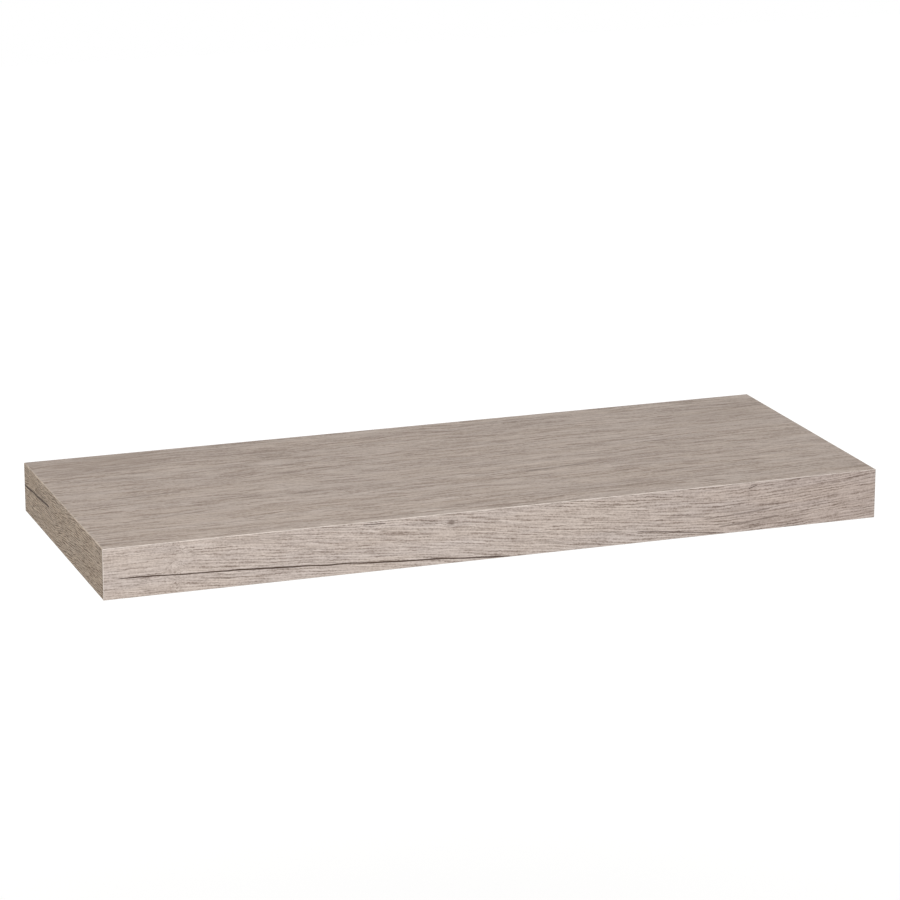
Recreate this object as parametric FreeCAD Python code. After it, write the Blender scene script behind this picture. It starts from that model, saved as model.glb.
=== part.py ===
import FreeCAD, Part
import math
import os

# A floating wall shelf: a hollow-core board that slides over the two rods of a hidden wall bracket.
# Millimetres. X runs along the board, +Y points into the wall and +Z points up.
# The origin lies on the wall, in the middle of the bracket, at the height of its rods.
# The board's back edge and the bracket's back face both lie on the wall, at Y = 0.

# The board
board_width = 600.0
board_depth = 235.0
board_height = 38.0
foil_thickness = 0.3
panel_thickness = 3.0
band_thickness = 1.0
band_edge_radius = 0.6
rail_width = 30.0
cross_rail_width = 60.0

# The paper honeycomb between the rails
cell_size = 20.0
paper_thickness = 0.5
core_clearance = 0.25

# The wall bar, and the channel behind the board that hides it
bar_thickness = 3.0
bar_overhang = 60.0
bar_corner_radius = 4.0
bar_clearance = 1.7
channel_clearance = 3.2

# The rods, and the bores that slide over them
rod_inset = 140.0
rod_diameter = 12.0
rod_length = 150.0
rod_chamfer = 1.5
spigot_diameter = 8.0
rivet_diameter = 11.0
rivet_depth = 1.2
bore_clearance = 0.4
bore_end_gap = 5.0

# The wall screws, their plugs, and the slots in the bar
screw_offset = 35.0
screw_diameter = 5.0
screw_root_diameter = 3.4
screw_length = 48.0
screw_neck_length = 8.0
screw_point_length = 5.0
screw_thread_pitch = 2.2
screw_head_diameter = 9.6
screw_head_height = 2.8
screw_head_radius = 1.5
cross_recess_length = 5.0
cross_recess_width = 1.1
cross_recess_depth = 1.8
slot_clearance = 0.25
slot_length = 11.0
spare_slot_offset = 60.0
plug_diameter = 8.0
plug_length = 40.0
plug_recess = 2.5
plug_collar_length = 10.0
plug_groove_depth = 0.45
plug_groove_pitch = 4.0
plug_slit_width = 1.2
plug_clearance = 0.05

# The locking screws under the board, and the threaded inserts that hold them
lock_setback = 70.0
insert_diameter = 10.0
insert_ridge_depth = 0.5
insert_ridge_pitch = 1.6
insert_end_gap = 1.6
flange_diameter = 13.0
flange_thickness = 1.2
flange_clearance = 0.1
lock_diameter = 6.0
lock_thread_depth = 0.45
lock_thread_pitch = 1.0
lock_thread_clearance = 0.05
lock_tip_gap = 0.1
lock_recess = 2.9
lock_point_diameter = 3.0
lock_point_length = 1.5
hex_key_size = 3.0
hex_socket_depth = 3.5

# How far a cutting shape runs past the face that it opens
overrun = 1.0
# How close two points have to be to count as one
same_point = 0.001

# Places that follow from the sizes above
half_width = board_width / 2
half_height = board_height / 2
panel_half_width = half_width - band_thickness
panel_front = band_thickness - board_depth
panel_outer = half_height - foil_thickness
core_half_height = panel_outer - panel_thickness
bar_half_height = core_half_height - bar_clearance
channel_depth = bar_thickness + screw_head_height + channel_clearance
back_rail_back = -channel_depth
back_rail_front = back_rail_back - rail_width
front_rail_back = panel_front + rail_width
end_rail_inner = panel_half_width - rail_width
rod_x = half_width - rod_inset
bar_half_length = rod_x + bar_overhang
screw_x = rod_x + screw_offset
rod_radius = rod_diameter / 2
bore_radius = rod_radius + bore_clearance
bore_end = -bar_thickness - rod_length - bore_end_gap
lock_y = -lock_setback
insert_top = -bore_radius - insert_end_gap
flange_top = flange_thickness - half_height
insert_hole_radius = insert_diameter / 2
flange_hole_radius = flange_diameter / 2 + flange_clearance
sides = {"left": -1, "right": 1}


def point(x, y, z):
    return FreeCAD.Vector(x, y, z)


def slab(x_low, x_high, y_low, y_high, z_low, z_high):
    """A block between two corners."""
    return Part.makeBox(x_high - x_low, y_high - y_low, z_high - z_low, point(x_low, y_low, z_low))


def upright_cylinder(x, y, z_low, z_high, radius):
    return Part.makeCylinder(radius, z_high - z_low, point(x, y, z_low))


def level_cylinder(x, y_low, y_high, z, radius):
    """A cylinder that lies along Y."""
    return Part.makeCylinder(radius, y_high - y_low, point(x, y_low, z), point(0, 1, 0))


def turned(outline):
    """The solid made by turning an outline of (radius, height) points about the Z axis."""
    corners = [point(radius, 0, height) for radius, height in outline]
    face = Part.Face(Part.makePolygon(corners + corners[:1]))
    return face.revolve(point(0, 0, 0), point(0, 0, 1), 360)


def ridges(root, crest, start, end, pitch):
    """Outline points of evenly spaced ridges, from one height to another."""
    count = max(1, round(abs(end - start) / pitch))
    step = (end - start) / count
    points = []
    for turn in range(count):
        points.append((root, start + turn * step))
        points.append((crest, start + (turn + 0.5) * step))
    return points + [(root, end)]


def soften(solid, on_edge, radius):
    """Rounds the edges whose ends both pass a test."""
    edges = [edge for edge in solid.Edges if all(on_edge(vertex.Point) for vertex in edge.Vertexes)]
    return solid.makeFillet(radius, edges)


def near(value, target):
    return abs(value - target) < same_point


# The board's skins and edge bands


def decor_foil(z_low):
    """One sheet of printed wood-grain foil, as large as the panel that it covers."""
    return slab(-panel_half_width, panel_half_width, panel_front, 0, z_low, z_low + foil_thickness)


def top_decor_foil():
    return decor_foil(panel_outer)


def bottom_decor_foil():
    foil = decor_foil(-half_height)
    for side in sides.values():
        hole = upright_cylinder(side * rod_x, lock_y, -half_height - overrun, -panel_outer + overrun, flange_hole_radius)
        foil = foil.cut(hole)
    return foil


def panel(z_low):
    return slab(-panel_half_width, panel_half_width, panel_front, 0, z_low, z_low + panel_thickness)


def top_panel():
    return panel(core_half_height)


def bottom_panel():
    """The lower panel, with a counterbored hole for each threaded insert."""
    board = panel(-panel_outer)
    for side in sides.values():
        flange_seat = upright_cylinder(side * rod_x, lock_y, -panel_outer - overrun, flange_top, flange_hole_radius)
        hole = upright_cylinder(
            side * rod_x, lock_y, -panel_outer - overrun, -core_half_height + overrun, insert_hole_radius
        )
        board = board.cut(flange_seat).cut(hole)
    return board


def front_edge_band():
    band = slab(-half_width, half_width, -board_depth, panel_front, -half_height, half_height)
    return soften(band, lambda p: near(p.y, -board_depth), band_edge_radius)


def end_edge_band(side):
    """The band on one end of the board, which stops at the back of the front band."""
    inner, outer = sorted((side * panel_half_width, side * half_width))
    band = slab(inner, outer, panel_front, 0, -half_height, half_height)

    def along_the_face(p):
        return near(p.x, side * half_width)

    edges = [
        edge
        for edge in band.Edges
        if all(along_the_face(vertex.Point) for vertex in edge.Vertexes)
        and not all(near(vertex.Point.y, panel_front) for vertex in edge.Vertexes)
    ]
    return band.makeFillet(band_edge_radius, edges)


# The rails between the panels, and the honeycomb


def front_rail():
    return slab(
        -panel_half_width, panel_half_width, panel_front, front_rail_back, -core_half_height, core_half_height
    )


def end_rail(side):
    x_low, x_high = sorted((side * end_rail_inner, side * panel_half_width))
    return slab(x_low, x_high, front_rail_back, 0, -core_half_height, core_half_height)


def rod_bore(side):
    return level_cylinder(side * rod_x, bore_end, overrun, 0, bore_radius)


def back_rail():
    """The rail in front of the channel. The rods pass through it."""
    rail = slab(-end_rail_inner, end_rail_inner, back_rail_front, back_rail_back, -core_half_height, core_half_height)
    for side in sides.values():
        rail = rail.cut(rod_bore(side))
    return rail


def cross_rail(side):
    """The rail from back to front that a rod slides into, with the hole for its threaded insert."""
    half = cross_rail_width / 2
    rail = slab(
        side * rod_x - half,
        side * rod_x + half,
        front_rail_back,
        back_rail_front,
        -core_half_height,
        core_half_height,
    )
    insert_hole = upright_cylinder(side * rod_x, lock_y, -core_half_height - overrun, 0, insert_hole_radius)
    return rail.cut(rod_bore(side)).cut(insert_hole)


def hexagon(x, y, z):
    """A six-sided face with two flats across X."""
    corner_radius = cell_size / math.sqrt(3)
    corners = []
    for corner in range(6):
        angle = math.radians(60 * corner + 30)
        corners.append(point(x + corner_radius * math.cos(angle), y + corner_radius * math.sin(angle), z))
    return Part.Face(Part.makePolygon(corners + corners[:1]))


def honeycomb(x_low, x_high):
    """Paper honeycomb that fills one bay. Loose slivers at the bay's corners fall away."""
    x_low, x_high = x_low + core_clearance, x_high - core_clearance
    y_low, y_high = front_rail_back + core_clearance, back_rail_front - core_clearance
    z_low = -core_half_height
    pitch = cell_size + paper_thickness
    row_pitch = pitch * math.sqrt(3) / 2
    x_middle, y_middle = (x_low + x_high) / 2, (y_low + y_high) / 2
    columns = math.ceil((x_high - x_low) / pitch / 2) + 1
    rows = math.ceil((y_high - y_low) / row_pitch / 2) + 1
    cells = []
    for row in range(-rows, rows + 1):
        shift = pitch / 2 if row % 2 else 0
        for column in range(-columns, columns + 1):
            x, y = x_middle + column * pitch + shift, y_middle + row * row_pitch
            if x_low - cell_size < x < x_high + cell_size and y_low - cell_size < y < y_high + cell_size:
                cells.append(hexagon(x, y, z_low))
    outline = [point(x_low, y_low, z_low), point(x_high, y_low, z_low)]
    outline += [point(x_high, y_high, z_low), point(x_low, y_high, z_low)]
    sheet = Part.Face(Part.makePolygon(outline + outline[:1]))
    net = sheet.cut(Part.makeCompound(cells))
    web = max(net.Faces, key=lambda face: face.Area)
    return web.extrude(point(0, 0, 2 * core_half_height))


# The threaded inserts and locking screws


def lock_insert(side):
    """A flanged insert, ridged outside, whose flange lies flush with the underside."""
    root = insert_hole_radius - insert_ridge_depth
    bore = lock_diameter / 2 + lock_thread_clearance
    outline = [(bore, -half_height), (flange_diameter / 2, -half_height), (flange_diameter / 2, flange_top)]
    outline += ridges(root, insert_hole_radius, flange_top, insert_top, insert_ridge_pitch)
    outline += [(bore, insert_top)]
    insert = turned(outline)
    insert.translate(point(side * rod_x, lock_y, 0))
    return insert


def locking_screw(side):
    """A headless screw with a hexagon socket below and a blunt point that presses on the rod."""
    crest = lock_diameter / 2
    root = crest - lock_thread_depth
    tip = -rod_radius - lock_tip_gap
    foot = lock_recess - half_height
    point_start = tip - lock_point_length
    outline = [(0, foot)]
    outline += ridges(root, crest, foot, point_start, lock_thread_pitch)
    outline += [(lock_point_diameter / 2, tip), (0, tip)]
    screw = turned(outline)
    socket_radius = hex_key_size / math.sqrt(3)
    corners = []
    for corner in range(6):
        angle = math.radians(60 * corner)
        corners.append(point(socket_radius * math.cos(angle), socket_radius * math.sin(angle), foot - overrun))
    socket = Part.Face(Part.makePolygon(corners + corners[:1]))
    screw = screw.cut(socket.extrude(point(0, 0, hex_socket_depth + overrun)))
    screw.translate(point(side * rod_x, lock_y, 0))
    return screw


# The wall bracket


def slot(x):
    """A level slot for a wall screw."""
    radius = screw_diameter / 2 + slot_clearance
    reach = slot_length / 2 - radius
    y_low, y_high = -bar_thickness - overrun, overrun
    ends = [level_cylinder(x + end * reach, y_low, y_high, 0, radius) for end in (-1, 1)]
    middle = slab(x - reach, x + reach, y_low, y_high, -radius, radius)
    return middle.fuse(ends).removeSplitter()


def rod(side):
    """A steel rod whose spigot passes through the bar and is riveted over on the wall side."""
    spigot_radius = spigot_diameter / 2
    rod_end = bar_thickness + rod_length
    outline = [(0, 0), (rivet_diameter / 2, 0), (spigot_radius, rivet_depth), (spigot_radius, bar_thickness)]
    outline += [(rod_radius, bar_thickness), (rod_radius, rod_end - rod_chamfer)]
    outline += [(rod_radius - rod_chamfer, rod_end), (0, rod_end)]
    bar = turned(outline)
    bar.rotate(point(0, 0, 0), point(1, 0, 0), 90)
    bar.translate(point(side * rod_x, 0, 0))
    return bar


def wall_bar():
    """The flat steel bar against the wall, with its rivet holes and four screw slots."""
    bar = slab(-bar_half_length, bar_half_length, -bar_thickness, 0, -bar_half_height, bar_half_height)
    corners = [edge for edge in bar.Edges if near(abs(edge.tangentAt(edge.FirstParameter).y), 1)]
    bar = bar.makeFillet(bar_corner_radius, corners)
    for side in sides.values():
        bar = bar.cut(rod(side))
        bar = bar.cut(slot(side * screw_x))
        bar = bar.cut(slot(side * spare_slot_offset))
    return bar


def wall_screw(side):
    """A pan-head screw that holds the bar to the wall."""
    crest = screw_diameter / 2
    root = screw_root_diameter / 2
    head_radius = screw_head_diameter / 2
    thread_end = screw_length - screw_point_length
    head = Part.makeCylinder(head_radius, screw_head_height, point(0, 0, -screw_head_height))
    head = soften_rim(head, -screw_head_height, screw_head_radius)
    outline = [(0, 0), (crest, 0), (crest, screw_neck_length)]
    outline += ridges(root, crest, screw_neck_length, thread_end, screw_thread_pitch)
    outline += [(0, screw_length)]
    screw = head.fuse(turned(outline)).removeSplitter()
    long, wide = cross_recess_length / 2, cross_recess_width / 2
    floor = cross_recess_depth - screw_head_height
    recess = slab(-long, long, -wide, wide, -screw_head_height - overrun, floor)
    recess = recess.fuse(slab(-wide, wide, -long, long, -screw_head_height - overrun, floor))
    screw = screw.cut(recess)
    screw.rotate(point(0, 0, 0), point(1, 0, 0), -90)
    screw.translate(point(side * screw_x, -bar_thickness, 0))
    return screw


def soften_rim(solid, height, radius):
    """Rounds the circular edge at one height."""
    rim = [edge for edge in solid.Edges if near(edge.BoundBox.ZMin, height) and near(edge.BoundBox.ZMax, height)]
    return solid.makeFillet(radius, rim)


def wall_plug(side):
    """A slit plug that the screw spreads in the wall. Its mouth lies just below the plaster."""
    outer = plug_diameter / 2
    bore = screw_diameter / 2 + plug_clearance
    outline = [(bore, 0), (outer, 0), (outer, plug_collar_length)]
    outline += ridges(outer, outer - plug_groove_depth, plug_collar_length, plug_length, plug_groove_pitch)
    outline += [(bore, plug_length)]
    plug = turned(outline)
    half_slit = plug_slit_width / 2
    slit = slab(-outer - overrun, outer + overrun, -half_slit, half_slit, plug_collar_length, plug_length + overrun)
    plug = plug.cut(slit)
    plug.rotate(point(0, 0, 0), point(1, 0, 0), -90)
    plug.translate(point(side * screw_x, plug_recess, 0))
    return plug


def pair(make):
    """One solid on each side of the middle, in one group."""
    return Part.makeCompound([make(side) for side in sides.values()])


def shelf():
    """Every piece of the shelf, by name."""
    cross_rail_inner = rod_x - cross_rail_width / 2
    cross_rail_outer = rod_x + cross_rail_width / 2
    pieces = {
        "top_decor_foil": top_decor_foil(),
        "bottom_decor_foil": bottom_decor_foil(),
        "top_panel": top_panel(),
        "bottom_panel": bottom_panel(),
        "front_edge_band": front_edge_band(),
        "front_rail": front_rail(),
        "back_rail": back_rail(),
        "honeycomb_left": honeycomb(-end_rail_inner, -cross_rail_outer),
        "honeycomb_centre": honeycomb(-cross_rail_inner, cross_rail_inner),
        "honeycomb_right": honeycomb(cross_rail_outer, end_rail_inner),
        "wall_bar": wall_bar(),
        "wall_screws": pair(wall_screw),
        "wall_plugs": pair(wall_plug),
    }
    for name, side in sides.items():
        pieces[name + "_edge_band"] = end_edge_band(side)
        pieces[name + "_end_rail"] = end_rail(side)
        pieces[name + "_cross_rail"] = cross_rail(side)
        pieces[name + "_rod"] = rod(side)
        pieces[name + "_lock_insert"] = lock_insert(side)
        pieces[name + "_locking_screw"] = locking_screw(side)
    return pieces


os.makedirs("parts", exist_ok=True)
for name, shape in shelf().items():
    shape.exportStep(os.path.join("parts", name + ".step"))
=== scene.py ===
"""A floating wall shelf: the finish of every piece, its threaded fasteners, the floor, lamps and camera."""
import math
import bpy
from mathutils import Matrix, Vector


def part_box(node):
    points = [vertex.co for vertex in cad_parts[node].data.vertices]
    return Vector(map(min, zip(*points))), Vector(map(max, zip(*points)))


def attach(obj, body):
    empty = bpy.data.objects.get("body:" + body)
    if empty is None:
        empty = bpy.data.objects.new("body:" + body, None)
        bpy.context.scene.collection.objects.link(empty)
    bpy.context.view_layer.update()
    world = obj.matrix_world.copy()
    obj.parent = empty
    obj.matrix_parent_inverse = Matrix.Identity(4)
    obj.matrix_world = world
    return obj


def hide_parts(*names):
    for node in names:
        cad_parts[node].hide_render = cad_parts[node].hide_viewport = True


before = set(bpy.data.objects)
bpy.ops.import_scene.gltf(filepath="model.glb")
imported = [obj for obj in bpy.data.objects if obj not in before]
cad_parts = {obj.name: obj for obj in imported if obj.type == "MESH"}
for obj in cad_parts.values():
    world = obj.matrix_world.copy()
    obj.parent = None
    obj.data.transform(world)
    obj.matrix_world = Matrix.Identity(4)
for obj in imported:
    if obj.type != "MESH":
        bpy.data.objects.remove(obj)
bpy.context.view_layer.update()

from types import SimpleNamespace

import bpy
from bpy.props import FloatProperty, FloatVectorProperty, IntProperty, PointerProperty
from mathutils import Vector

bl_info = {
    "name": "Floating shelf",
    "version": (1, 0, 0),
    "blender": (4, 5, 0),
    "location": "3D View > Sidebar > Shelf",
    "description": "Dresses a floating wall shelf and sets up its studio",
    "category": "Object",
}

MM = 0.001
PER_METRE = 1000.0

# Places on the shelf that the finishes follow, in millimetres
half_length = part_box("right_edge_band")[1].x * PER_METRE
half_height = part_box("right_edge_band")[1].z * PER_METRE
front_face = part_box("front_edge_band")[0].y * PER_METRE
panel_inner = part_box("top_panel")[0].z * PER_METRE
panel_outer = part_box("top_panel")[1].z * PER_METRE

# Where the lamps and the camera stand and what they point at, in metres
key_lamp_place = (-0.75, -2.0, 1.25)
top_lamp_place = (-0.1, -0.2, 2.2)
lamp_aim = (0, -0.12, 0)
camera_place = (-0.8982, -2.6135, 0.7773)
camera_aim = (0.0011, -0.1175, 0.0314)

# How the print's hue drifts over a face
warm_tint = (1.015, 0.996, 0.985)
cool_tint = (1.0, 0.996, 1.012)

# Cracks and dark lines in the print. Height is the place across the grain at the start, and the depth of
# colour comes last.
crack_parts = ("start", "end", "height", "slope", "bend", "half_width")
front_cracks = (
    (-297, 14, -3.6, -0.029, -6.4, 0.5, 0.98),
    (-108, -90, 16.9, -0.02, 0, 0.32, 0.7),
    (104, 178, -10, -0.115, 0, 0.3, 0.75),
    (144, 160, -2, -0.12, 0, 0.28, 0.5),
    (195, 202, 13.8, 0.35, 0, 0.32, 0.75),
    (197, 201.5, 16.8, 0.1, 0, 0.3, 0.6),
    (170, 222, -13.5, 0.085, 0, 0.45, 0.45),
    (158, 214, -6.5, 0.06, 0, 0.4, 0.4),
)
top_cracks = (
    (-296, -214, -64, -0.07, 0, 0.8, 0.5),
    (-264, -208, -118, 0.05, 0, 0.9, 0.65),
    (-266, -206, -176, 0.1, 0, 0.9, 0.55),
    (-298, -240, -199, 0.02, 0, 0.8, 0.35),
    (-120, -30, -228, 0.03, 0, 0.8, 0.35),
    (48, 104, -151, 0.107, 0, 1, 0.9),
    (150, 240, -112, -0.1, 0, 0.8, 0.35),
)
end_cracks = ((-14, 82, 1, 0.055, 0, 0.7, 1),)

# Patches of darker wood in the print, with X along the grain. The depth of colour comes last.
patch_parts = ("middle_x", "middle_y", "reach_x", "reach_y")
front_patches = (
    (-250, 10, 7, 10, 0.3),
    (-188, 14.5, 26, 3, 0.5),
    (192, -1.5, 36, 3, 0.42),
    (216, -9.5, 30, 4.5, 0.38),
)
top_patches = (
    (-250, -22, 80, 28, 0.85),
    (250, -48, 60, 28, 0.5),
)


def colour(name, description, *steps):
    """A colour given in the usual 0 to 255 steps, kept as the linear values that the materials take."""
    def linear(step):
        share = step / 255
        return share / 12.92 if share <= 0.04045 else ((share + 0.055) / 1.055) ** 2.4
    return tint(name, description, *(linear(step) for step in steps))


def tint(name, description, *shares):
    return FloatVectorProperty(name=name, description=description, subtype="COLOR", size=3, min=0, max=1,
                               default=shares)


def length(name, description, millimetres):
    return FloatProperty(name=name, description=description, unit="LENGTH", min=0, default=millimetres * MM)


def plain(name, description, default):
    return FloatProperty(name=name, description=description, default=default)


class FoilSettings(bpy.types.PropertyGroup):
    """The printed foil on the top and the underside."""
    pale: colour("Pale wood", "The palest lines in the print", 193, 180, 169)
    light: colour("Light wood", "The lighter wood in the print", 182, 168, 157)
    middle: colour("Middle wood", "The usual wood in the print", 170, 155, 143)
    dark: colour("Dark streaks", "The darker streaks in the print", 145, 128, 115)
    pore: colour("Pores", "The open pores in the print", 116, 101, 90)
    paper: colour("Paper", "The foil's cut edge", 186, 170, 146)
    pore_pitch: plain("Pore pitch", "Millimetres across the grain between pores", 1.5)
    pore_length: plain("Pore length", "Millimetres along the grain that a pore runs", 30.0)


class EdgingSettings(bpy.types.PropertyGroup):
    """The printed bands on the front and the ends."""
    pale: colour("Pale wood", "The palest lines on the front", 219, 209, 201)
    light: colour("Light wood", "The lighter wood on the front", 207, 196, 188)
    middle: colour("Middle wood", "The usual wood on the front", 193, 181, 173)
    dark: colour("Dark streaks", "The darker streaks on the front", 158, 145, 136)
    pore: colour("Pores", "The open pores on the front", 110, 96, 87)
    crack: colour("Cracks", "The long drying cracks", 72, 56, 47)
    core: colour("Core", "The plain plastic behind the print", 190, 177, 166)
    # Scraped edge: the pale plastic of the trimmed edge, made near white as a painted highlight along the
    # edge
    scraped: colour("Scraped edge", "The plastic where its edge was scraped round", 240, 233, 226)
    # Painted shade: darkens the front towards the right, where the light falls off
    right_tint: tint("Right tint", "How the print deepens towards the right", 0.905, 0.875, 0.87)
    # Painted shade: makes the ends' print darker and warmer than the front's, as the weaker, warmer light on
    # the ends would
    end_tint: tint("End tint", "How the print on the ends differs from the front's", 0.96, 0.89, 0.76)
    pore_pitch: plain("Pore pitch", "Millimetres across the grain between pores", 1.05)
    pore_length: plain("Pore length", "Millimetres along the grain that a pore runs", 22.0)


class CoreSettings(bpy.types.PropertyGroup):
    """What the board is made of inside its print."""
    board: colour("Fibreboard", "The raw fibreboard", 150, 114, 82)
    board_dark: colour("Fibreboard faces", "The dense faces of the fibreboard", 112, 80, 54)
    chip_pale: colour("Pale chips", "The palest wood chips", 228, 204, 172)
    chip_dark: colour("Dark chips", "The darkest wood chips", 192, 154, 120)
    chip_gap: colour("Gaps", "The gaps between the chips", 132, 100, 76)
    kraft: colour("Kraft paper", "The honeycomb's paper", 178, 144, 104)
    kraft_dark: colour("Kraft fibres", "The darker fibres in the paper", 138, 104, 70)


class BracketSettings(bpy.types.PropertyGroup):
    """The wall bar and its rods."""
    zinc: colour("Zinc plate", "Bright zinc on steel", 190, 193, 197)
    zinc_dark: colour("Dull zinc", "Where the plating is dull", 150, 154, 160)
    edge_break: length("Edge break", "How much is taken off each sharp edge", 0.35)


class FastenerSettings(bpy.types.PropertyGroup):
    """The screws, plugs and inserts."""
    yellow: colour("Yellow zinc", "The yellow of the plating", 214, 184, 112)
    rose: colour("Rose zinc", "The rosy patches of the plating", 205, 158, 118)
    green: colour("Green zinc", "The greenish patches of the plating", 176, 180, 116)
    black: colour("Black oxide", "The blackened steel", 40, 40, 42)
    worn: colour("Worn steel", "Where the black has rubbed off", 120, 120, 122)
    alloy: colour("Zinc alloy", "The tumbled inserts", 190, 190, 187)
    alloy_dark: colour("Dull alloy", "Where the inserts are dull", 148, 148, 146)
    nylon: colour("Nylon", "The plugs", 151, 153, 156)
    screw_length: length("Screw length", "From under the head to the tip", 48)
    screw_crest: length("Screw radius", "The thread's outer radius", 2.48)
    screw_root: length("Screw root", "The thread's inner radius", 1.7)
    screw_pitch: length("Screw pitch", "The thread's pitch", 2.2)
    screw_shank: length("Shank length", "The plain part under the head", 8)
    screw_point: length("Point length", "The tapered tip", 7)
    head_radius: length("Head radius", "The pan head's radius", 4.8)
    head_height: length("Head height", "The pan head's height", 2.8)
    lock_crest: length("Locking screw radius", "The thread's outer radius", 2.97)
    lock_root: length("Locking screw root", "The thread's inner radius", 2.5)
    lock_pitch: length("Locking screw pitch", "The thread's pitch", 1)
    lock_point: length("Locking screw point", "The blunt point's length", 1.5)
    socket_radius: length("Socket radius", "From the middle of the hexagon to its corners", 1.73)
    socket_depth: length("Socket depth", "How deep the hexagon is", 3.5)
    groove_crest: length("Insert thread", "The radius of the insert's own thread", 3.4)
    thread_steps: IntProperty(name="Thread steps", description="Faces in one turn of a thread", default=32)


class StudioSettings(bpy.types.PropertyGroup):
    """The floor, lamps and camera."""
    floor_drop: length("Floor drop", "How far the floor lies below the shelf", 900)
    floor_size: length("Floor size", "The floor's width and depth", 14000)
    floor_colour: colour("Floor", "The pale floor", 246, 245, 243)
    world_light: plain("World light", "How brightly the surroundings light the shelf", 0.36)
    key_power: plain("Key lamp", "Watts of the large lamp in front", 36.5)
    top_power: plain("Top lamp", "Watts of the lamp overhead", 9.0)
    lens: plain("Lens", "Focal length in millimetres", 146.0)


# Node helpers


class Value:
    """What a node puts out. Arithmetic on it adds maths nodes to its tree."""

    def __init__(self, socket):
        self.socket = socket
        self.tree = socket.id_data

    def __add__(self, other):
        return calc("ADD", self, other)

    def __radd__(self, other):
        return calc("ADD", other, self)

    def __sub__(self, other):
        return calc("SUBTRACT", self, other)

    def __rsub__(self, other):
        return calc("SUBTRACT", other, self)

    def __mul__(self, other):
        return calc("MULTIPLY", self, other)

    def __truediv__(self, other):
        return calc("DIVIDE", self, other)

    def __rtruediv__(self, other):
        return calc("DIVIDE", other, self)

    def __abs__(self):
        return calc("ABSOLUTE", self)


def feed(socket, value):
    """Links a value to a socket, or sets the socket to a plain number, vector or colour."""
    if isinstance(value, Value):
        value.tree.links.new(value.socket, socket)
    elif socket.type == "RGBA" and len(value) == 3:
        socket.default_value = (*value, 1)
    else:
        socket.default_value = value


def add_node(kind, inputs, tree=None, **settings):
    """A node with its settings and inputs, in a given tree or in that of its first linked input."""
    if tree is None:
        tree = next(value.tree for value in inputs.values() if isinstance(value, Value))
    node = tree.nodes.new(kind)
    for name, value in settings.items():
        setattr(node, name, value)
    for name, value in inputs.items():
        feed(node.inputs[name], value)
    return node


def output_of(kind, inputs, output=0, tree=None, **settings):
    return Value(add_node(kind, inputs, tree, **settings).outputs[output])


def calc(operation, first, second=0.0, third=0.0):
    return output_of("ShaderNodeMath", {0: first, 1: second, 2: third}, operation=operation)


def vector_calc(operation, first, second, third=(0, 0, 0)):
    return output_of("ShaderNodeVectorMath", {0: first, 1: second, 2: third}, operation=operation)


def scaled(vector, scale):
    return output_of("ShaderNodeVectorMath", {0: vector, "Scale": scale}, operation="SCALE")


def spread(value, low, high, to_low=0.0, to_high=1.0):
    """Turns the range from low to high into the range from to_low to to_high, and holds its ends."""
    inputs = {"Value": value, "From Min": low, "From Max": high, "To Min": to_low, "To Max": to_high}
    return output_of("ShaderNodeMapRange", inputs, "Result", interpolation_type="SMOOTHSTEP")


def mixed(share, first, second, mode="MIX"):
    settings = {"data_type": "RGBA", "blend_type": mode, "clamp_factor": True}
    return output_of("ShaderNodeMix", {0: share, 6: first, 7: second}, 2, **settings)


def graded(value, stops):
    """A colour that runs through stops, pairs of place and colour in rising order, as value rises."""
    node = add_node("ShaderNodeValToRGB", {0: value})
    elements = node.color_ramp.elements
    elements[0].position, elements[1].position = stops[0][0], stops[-1][0]
    elements[0].color, elements[1].color = (*stops[0][1], 1), (*stops[-1][1], 1)
    for place, stop_colour in stops[1:-1]:
        elements.new(place).color = (*stop_colour, 1)
    return Value(node.outputs[0])


def split(vector):
    return [Value(part) for part in add_node("ShaderNodeSeparateXYZ", {0: vector}).outputs]


def joined(x, y=0.0):
    return output_of("ShaderNodeCombineXYZ", {0: x, 1: y})


def noise(position, size, seed=0, detail=2, roughness=0.5):
    """Noise whose features are about size (x, y, z) millimetres."""
    frequency = tuple(1 / side for side in size)
    shift = tuple(seed * step for step in (3.7, 9.1, 5.3))
    place = vector_calc("MULTIPLY_ADD", position, frequency, shift)
    inputs = {"Vector": place, "Scale": 1.0, "Detail": detail, "Roughness": roughness}
    return output_of("ShaderNodeTexNoise", inputs, "Fac")


def swing(value, reach):
    """Noise, which lies about a half, as a value that lies about nought and reaches about so far."""
    return (value - 0.5) * reach


def distance(x, y):
    """How far a place is from nought, given its two parts."""
    return calc("SQRT", calc("MULTIPLY_ADD", x, x, y * y))


def labelled(name):
    """The label of what the code gives a plain name: pore_pitch is Pore pitch."""
    return name.replace("_", " ").capitalize()


def named(sockets):
    """A node's outputs as values under plain names."""
    return SimpleNamespace(**{socket.name.replace(" ", "_").lower(): Value(socket) for socket in sockets})


def build_effect(name, make, inputs):
    """A node group with a named socket for each input, and for each value in what make returns."""
    tree = bpy.data.node_groups.new(name, "ShaderNodeTree")
    for label in inputs:
        kind = "NodeSocketVector" if label in ("position", "grain") else "NodeSocketFloat"
        tree.interface.new_socket(name=labelled(label), in_out="INPUT", socket_type=kind)
    made = make(named(tree.nodes.new("NodeGroupInput").outputs))
    for label in made:
        tree.interface.new_socket(name=labelled(label), in_out="OUTPUT", socket_type="NodeSocketFloat")
    result = tree.nodes.new("NodeGroupOutput").inputs
    for label, value in made.items():
        feed(result[labelled(label)], value)


def use_effect(make, **inputs):
    """Places a shared effect in the material that its position comes from. Each use gives all its inputs."""
    name = labelled(make.__name__)
    if name not in bpy.data.node_groups:
        build_effect(name, make, inputs)
    fed = {labelled(label): value for label, value in inputs.items()}
    return named(add_node("ShaderNodeGroup", fed, node_tree=bpy.data.node_groups[name]).outputs)


# Effects that several finishes share


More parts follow.
